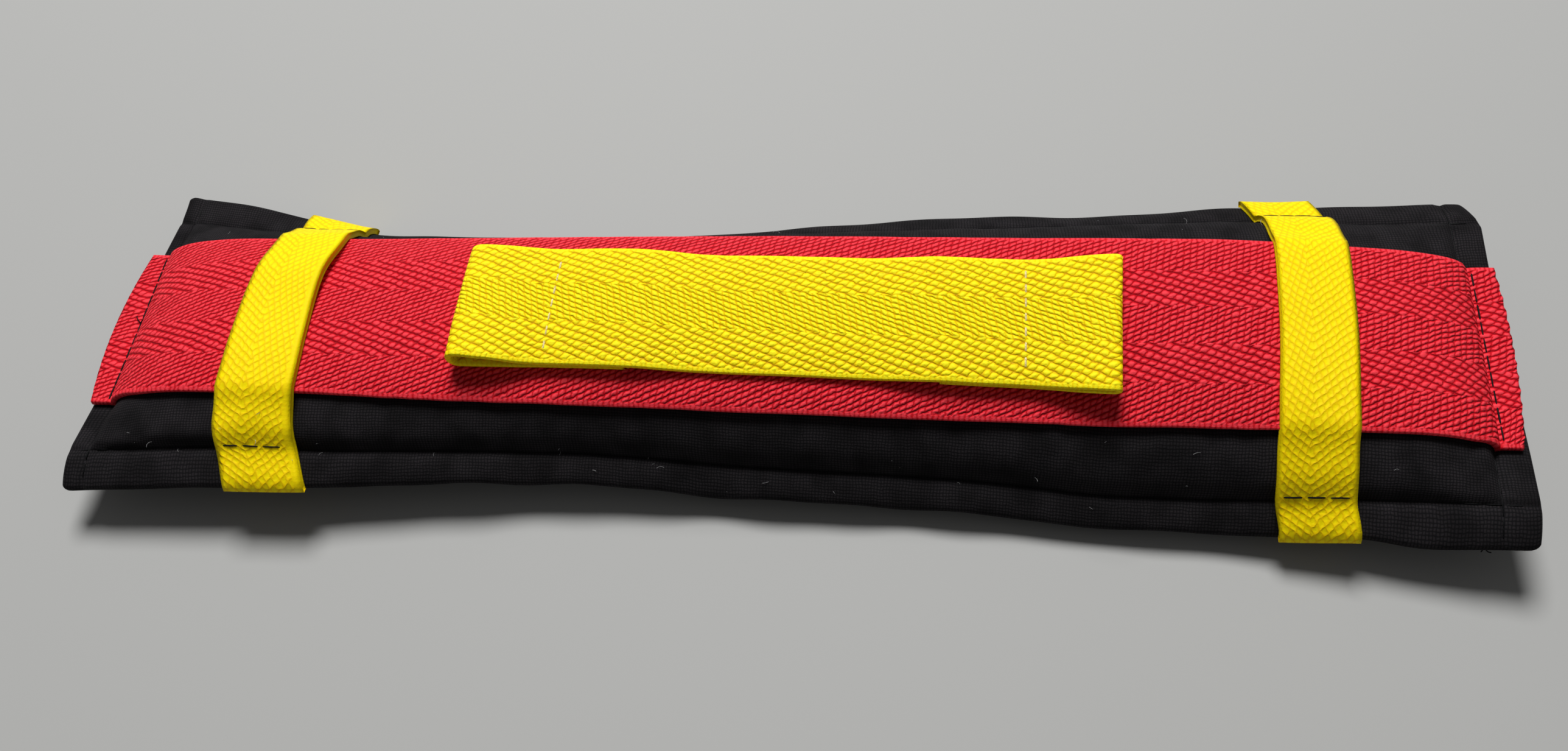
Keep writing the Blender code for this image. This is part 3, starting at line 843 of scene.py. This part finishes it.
def stitch_tree():
    """Geometry nodes that lay one stitch at each point, along its row and face up."""
    tree = bpy.data.node_groups.new("running_stitch", "GeometryNodeTree")
    kinds = {
        "Places": "Geometry", "Size": "Vector", "Seed": "Int", "Stitch": "Object",
        "Thread": "Material",
    }
    sockets = {}
    for title, kind in kinds.items():
        kind = "NodeSocket" + kind
        socket = tree.interface.new_socket(title, in_out="INPUT", socket_type=kind)
        sockets[title] = socket.identifier
    tree.interface.new_socket("Stitches", in_out="OUTPUT", socket_type="NodeSocketGeometry")

    def add(kind, links=(), **settings):
        made = tree.nodes.new(kind)
        for key, value in settings.items():
            setattr(made, key, value)
        for name, value in dict(links).items():
            if isinstance(value, bpy.types.NodeSocket):
                tree.links.new(value, made.inputs[name])
            else:
                made.inputs[name].default_value = value
        return made

    def stored(name):
        """Directions that the points carry."""
        kind = "GeometryNodeInputNamedAttribute"
        return add(kind, {"Name": name}, data_type="FLOAT_VECTOR").outputs[0]

    given = add("NodeGroupInput").outputs
    turn = "FunctionNodeAlignRotationToVector"
    along = add(turn, {"Vector": stored("heading")}, axis="X").outputs[0]
    facing = {"Rotation": along, "Vector": stored("outwards")}
    upright = add(turn, facing, axis="Z", pivot_axis="X")
    uneven = add("FunctionNodeRandomValue", {"Seed": given["Seed"]}, data_type="FLOAT_VECTOR")
    uneven.inputs[0].default_value = (0.86, 0.85, 0.85)
    uneven.inputs[1].default_value = (1.06, 1.1, 1.15)
    size = add("ShaderNodeVectorMath", operation="MULTIPLY")
    tree.links.new(uneven.outputs[0], size.inputs[0])
    tree.links.new(given["Size"], size.inputs[1])
    shape = add("GeometryNodeObjectInfo", {"Object": given["Stitch"]})
    placed = add("GeometryNodeInstanceOnPoints", {
        "Points": given["Places"],
        "Instance": shape.outputs["Geometry"],
        "Rotation": upright.outputs[0],
        "Scale": size.outputs[0],
    })
    real = add("GeometryNodeRealizeInstances", {"Geometry": placed.outputs[0]})
    dyed = {"Geometry": real.outputs[0], "Material": given["Thread"]}
    finished = add("GeometryNodeSetMaterial", dyed)
    tree.links.new(finished.outputs[0], add("NodeGroupOutput").inputs[0])
    return tree, sockets


def tube_faces(first, rings, sides):
    """Faces of a closed tube whose rings of points follow each other from first."""
    faces = []
    for i in range(rings - 1):
        for k in range(sides):
            a = first + i * sides + k
            b = first + i * sides + (k + 1) % sides
            faces.append((a, b, b + sides, a + sides))
    last = first + (rings - 1) * sides
    faces.append(tuple(first + k for k in reversed(range(sides))))
    faces.append(tuple(last + k for k in range(sides)))
    return faces


def stitch_shape():
    """One stitch along X, whose ends dip into the cloth."""
    sides = 8
    points = []
    for x, share, height in STITCH_RINGS:
        for k in range(sides):
            turn = math.tau * k / sides
            radius = 0.5 * share
            points.append((x, radius * math.cos(turn), radius * math.sin(turn) + height))
    mesh = bpy.data.meshes.new("one_stitch")
    mesh.from_pydata(points, [], tube_faces(0, len(STITCH_RINGS), sides))
    mesh.shade_smooth()
    shape = bpy.data.objects.new("one_stitch", mesh)
    bpy.context.scene.collection.objects.link(shape)
    return shape


running_stitch, stitch_inputs = stitch_tree()


def sew(name, lines, pitch, size, seed, material):
    """Stitches along lines of (point, normal), as one plain mesh."""
    points, headings, normals = [], [], []
    for line in lines:
        spots = np.array([[*point, *normal] for point, normal in line])
        reach = np.linalg.norm(np.diff(spots[:, :3], axis=0), axis=1)
        gone = np.concatenate([[0], np.cumsum(reach)])
        count = max(round(gone[-1] / (pitch * MM)), 1)
        middles = (np.arange(count) + 0.5) * gone[-1] / count
        way = np.gradient(spots[:, :3], gone, axis=0)
        table = np.hstack([spots, way])
        laid = np.stack([np.interp(middles, gone, column) for column in table.T], axis=1)
        points += laid[:, :3].tolist()
        normals += laid[:, 3:6].tolist()
        headings += laid[:, 6:].tolist()
    mesh = bpy.data.meshes.new(name + "_places")
    mesh.from_pydata(points, [], [])
    for title, vectors in (("outwards", normals), ("heading", headings)):
        layer = mesh.attributes.new(title, "FLOAT_VECTOR", "POINT")
        layer.data.foreach_set("vector", np.array(vectors).ravel())
    guide = bpy.data.objects.new(name + "_places", mesh)
    bpy.context.scene.collection.objects.link(guide)
    shape = stitch_shape()
    sewing = guide.modifiers.new("sewing", "NODES")
    sewing.node_group = running_stitch
    sewing[stitch_inputs["Size"]] = [value * MM for value in size]
    sewing[stitch_inputs["Seed"]] = seed
    sewing[stitch_inputs["Stitch"]] = shape
    sewing[stitch_inputs["Thread"]] = material
    settled = guide.evaluated_get(bpy.context.evaluated_depsgraph_get())
    stitches = bpy.data.meshes.new_from_object(settled)
    stitches.name = name
    for spare in (guide, shape):
        spare_mesh = spare.data
        bpy.data.objects.remove(spare, do_unlink=True)
        bpy.data.meshes.remove(spare_mesh)
    return add_piece(name, stitches, material)


def thread(name, dark, light, roughness):
    """Spun fibre, as thread or yarn: plies that catch the light in turn along it."""
    spun, shader = new_material(name, roughness, 0.12)
    place = node(spun, "ShaderNodeTexCoord").outputs["Object"]
    plies = node(spun, "ShaderNodeTexNoise", [place, None, 3200.0, 2.0, 0.6]).outputs[0]
    colour = coloured(spun, plies, (0.35, dark), (0.7, light))
    spun.node_tree.links.new(colour, shader.inputs["Base Color"])
    emboss(spun, plies, 0.5, 0.05)
    return spun


def parted(spots):
    """Runs of a row between the steps at the edges of the tapes that it crosses."""
    runs = [[]]
    for spot in spots:
        if runs[-1] and (spot[0] - runs[-1][-1][0]).length > 0.85 * MM:
            runs.append([])
        runs[-1].append(spot)
    for before, after in zip(runs[:-1], runs[1:]):
        del before[-1:]
        del after[:1]
    return [run for run in runs if len(run) > 3]


def row_lines(tree, side):
    """The four rows of stitching on one side, each as points on the outermost face."""
    along = np.arange(LEFT_END + 2.2, RIGHT_END - 1.8, 0.5)
    from_middles = [np.abs(along - x) for x in STRAP_MIDDLES]
    on_straps = sum(ramp(STRAP_HALF_WIDTH - gap, 0, 0.6) for gap in from_middles) * (side > 0)
    routes = []
    for y in (-near_row(along) - 0.9 * on_straps, far_row(along) + 0.4 * on_straps):
        routes.append(np.stack([along + end_pull(along, y), y], axis=1))
    for x, outwards in ((LEFT_ROW, -1.4), (RIGHT_ROW, 1.4)):
        y = np.arange(-float(near_row(x)) - 5.6, float(far_row(x)) + 5.4, 0.5)
        on_webbing = ramp(WEBBING_HALF_WIDTH - np.abs(y), 0, 0.6) * (side > 0)
        xs = x + end_pull(np.full_like(y, x), y) + outwards * on_webbing
        routes.append(np.stack([xs, y], axis=1))
    lines = []
    for route in routes:
        found = [laid_on(tree, x, y, side, 0.02) for x, y in route]
        lines += parted([spot for spot in found if spot])
    return lines


# Spun polyester sewing thread, dyed black and matt.
black_thread = thread("black_polyester_thread", "#020202", "#121214", 0.6)
sewn_faces = outer_faces([cover, webbing] + straps)
cover_rows = row_lines(sewn_faces, 1) + row_lines(sewn_faces, -1)
stitch_size = (3.75, THREAD_WIDTH, THREAD_WIDTH)
topstitching = sew("topstitching", cover_rows, STITCH_PITCH, stitch_size, 3, black_thread)
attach(topstitching, "root")

# The same kind of thread in cream, across the tape.
cream_thread = thread("cream_polyester_thread", "#CDB25A", "#FBF0BE", 0.5)
tape_faces = outer_faces([loop_tape])
tape_seams = []
for seam, lean in ((LEFT_SEAM, 0.02), (RIGHT_SEAM, 0.01)):
    across = np.arange(-11.4, 9.9, 0.3)
    found = [laid_on(tape_faces, seam + lean * y, y, 1, 0.03) for y in across]
    tape_seams.append([spot for spot in found if spot])
cross_seams = sew("loop_seams", tape_seams, 3.0, (2.1, 0.4, 0.34), 5, cream_thread)
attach(cross_seams, "root")

# Yellow thread sunk in the tape, and beside it a row of dark marks, painted shade where the needle's
# holes are.
yellow_thread = thread("yellow_thread", "#DCB400", "#FBE420", 0.5)
hole_shadow = thread("needle_hole_shadow", "#6A4A00", "#9A7200", 0.9)
long_rows = []
for y in (-10.0, 8.2):
    along = np.arange(LEFT_SEAM + 1.5, RIGHT_SEAM - 1, 0.4)
    found = [laid_on(tape_faces, x, y, 1, 0.1) for x in along]
    long_rows.append([spot for spot in found if spot])
tape_rows = sew("loop_tape_rows", long_rows, TAPE_ROW_PITCH, (3.0, 0.26, 0.22), 8, yellow_thread)
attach(tape_rows, "root")
hole_lines = [line[5:] for line in long_rows]
hole_shade_marks = sew("needle_holes", hole_lines, TAPE_ROW_PITCH, (0.55, 0.42, 0.2), 9, hole_shadow)
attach(hole_shade_marks, "root")


# Loose ends: two cut tails of black thread by the left end row and one under the near
# right corner, a few yarns frayed from the yellow tape's cut end, and pale cotton lint.
LINT_PIECES = 46


def strands(name, paths, radius, material):
    """Thin round threads along paths of points in metres, as one mesh."""
    sides = 5
    points, faces = [], []
    for path in paths:
        run = np.gradient(path, axis=0)
        run /= np.linalg.norm(run, axis=1, keepdims=True)
        first = np.cross(run, (0.3, 0.2, 1.0))
        first /= np.linalg.norm(first, axis=1, keepdims=True)
        second = np.cross(run, first)
        faces += tube_faces(len(points), len(path), sides)
        for place, a, b in zip(path, first, second):
            for k in range(sides):
                turn = math.tau * k / sides
                points.append(place + (a * math.cos(turn) + b * math.sin(turn)) * radius * MM)
    mesh = bpy.data.meshes.new(name)
    mesh.from_pydata(points, [], faces)
    return add_piece(name, mesh, material)


def tail(start, heading, rise, length, curl):
    """A short thread that leaves its start at a heading in degrees and bends down."""
    share = np.linspace(0, 1, 9)
    turn = math.radians(heading) + math.radians(curl) * share
    x = np.cumsum(np.cos(turn)) * length / 9
    y = np.cumsum(np.sin(turn)) * length / 9
    z = rise * np.sin(share * math.pi * 0.8)
    return np.array(start) + np.stack([x - x[0], y - y[0], z], axis=1) * MM


knot, _ = laid_on(sewn_faces, LEFT_ROW - 1.2, 0.8, 1, -0.1)
hem_y, hem_z = edge_point(127.0, 7.2, near_edge(127.0), -1, -1)
hem = Vector((127.6, float(hem_y), float(hem_z))) * MM
tails = [tail(knot, 20, 0.7, 2.4, 50), tail(knot, 150, 0.5, 2.0, -40), tail(knot, -70, 0.4, 1.5, 20)]
tails += [tail(hem, -80, -0.5, 1.7, 60), tail(hem, -110, -0.7, 1.3, -30)]
thread_tails = strands("thread_tails", tails, 0.11, black_thread)
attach(thread_tails, "root")

# Cotton yarns out of the tape's weave.
frayed_yarn = thread("frayed_yellow_yarn", "#D8B000", "#FBE04A", 0.6)
rng = np.random.default_rng(11)
webbing_faces = outer_faces([webbing])
frays = []
for y in np.linspace(-12.7, -9.5, 11):
    start, _ = laid_on(webbing_faces, LEFT_CUT - 0.4, y, 1, -rng.uniform(0.1, 1.0))
    limits = ((-30, 15), (-0.1, 0.4), (0.9, 2.0), (-50, 50))
    frays.append(tail(start, *[rng.uniform(*ends) for ends in limits]))
frayed_end = strands("frayed_end", frays, 0.05, frayed_yarn)
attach(frayed_end, "root")

# Loose cotton fibres, grey with dust.
lint_fibre = thread("cotton_lint", "#77777A", "#B9B8B6", 0.8)
fluff = []
for _ in range(LINT_PIECES):
    x = rng.uniform(-126, 127)
    side = rng.choice((-1, 1), p=(0.75, 0.25))
    y = side * rng.uniform(21, 33)
    spot = laid_on(sewn_faces, x, y, 1, -0.06)
    if spot:
        limits = ((0, 360), (0, 0.25), (0.4, 2.0), (-120, 120))
        fluff.append(tail(spot[0], *[rng.uniform(*ends) for ends in limits]))
lint = strands("lint", fluff, 0.028, lint_fibre)
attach(lint, "root")


# The floor, a plain pale table, painted and matt, with a large soft lamp above and
# behind the pad and a little even light from all round.
floor_mesh = bpy.data.meshes.new("floor")
floor_mesh.from_pydata([(-3, -3, 0), (3, -3, 0), (3, 3, 0), (-3, 3, 0)], [], [(0, 1, 2, 3)])
floor = bpy.data.objects.new("floor", floor_mesh)
bpy.context.scene.collection.objects.link(floor)
table = bpy.data.materials.new("pale_table")
table.use_nodes = True
table_shader = table.node_tree.nodes["Principled BSDF"]
table_shader.inputs["Base Color"].default_value = linear("#A8A8A6")
table_shader.inputs["Roughness"].default_value = 0.7
floor_mesh.materials.append(table)

world = bpy.data.worlds.new("studio")
world.use_nodes = True
world.node_tree.nodes["Background"].inputs["Color"].default_value = (1, 1, 1, 1)
world.node_tree.nodes["Background"].inputs["Strength"].default_value = 0.11
bpy.context.scene.world = world

lamp_data = bpy.data.lights.new("soft_lamp_above", "AREA")
lamp_data.shape = "DISK"
lamp_data.size = 0.7
lamp_data.energy = 31
lamp = bpy.data.objects.new("soft_lamp_above", lamp_data)
lamp.location = (-0.14, 0.82, 1.38)
lamp.rotation_euler = (-lamp.location).to_track_quat("-Z", "Y").to_euler()
bpy.context.scene.collection.objects.link(lamp)


# The camera stands near and above, at the angle of the photo: it was fitted to the
# pad's corners, the seams and the edges of the tapes, in the photo's own pixels.
PHOTO_WIDTH = 2576
FOCAL_PIXELS = 2200
SENSOR_WIDTH = 36
yaw, pitch, roll = [math.radians(angle) for angle in (-9.56, 60.46, -6.40)]
ahead = Vector((math.sin(yaw) * math.cos(pitch), math.cos(yaw) * math.cos(pitch), -math.sin(pitch)))
level = Vector((math.cos(yaw), -math.sin(yaw), 0))
above = level.cross(ahead)
right = level * math.cos(roll) + above * math.sin(roll)
up = above * math.cos(roll) - level * math.sin(roll)
camera_data = bpy.data.cameras.new("camera")
camera_data.sensor_width = SENSOR_WIDTH
camera_data.lens = SENSOR_WIDTH * FOCAL_PIXELS / PHOTO_WIDTH
camera_data.clip_start = 0.01
camera = bpy.data.objects.new("camera", camera_data)
stand = Matrix.Translation(Vector((22.67, -132.79, 235.73)) * MM)
camera.matrix_world = stand @ Matrix((right, up, -ahead)).transposed().to_4x4()
bpy.context.scene.collection.objects.link(camera)
bpy.context.scene.camera = camera
bpy.context.scene.view_settings.view_transform = "Standard"
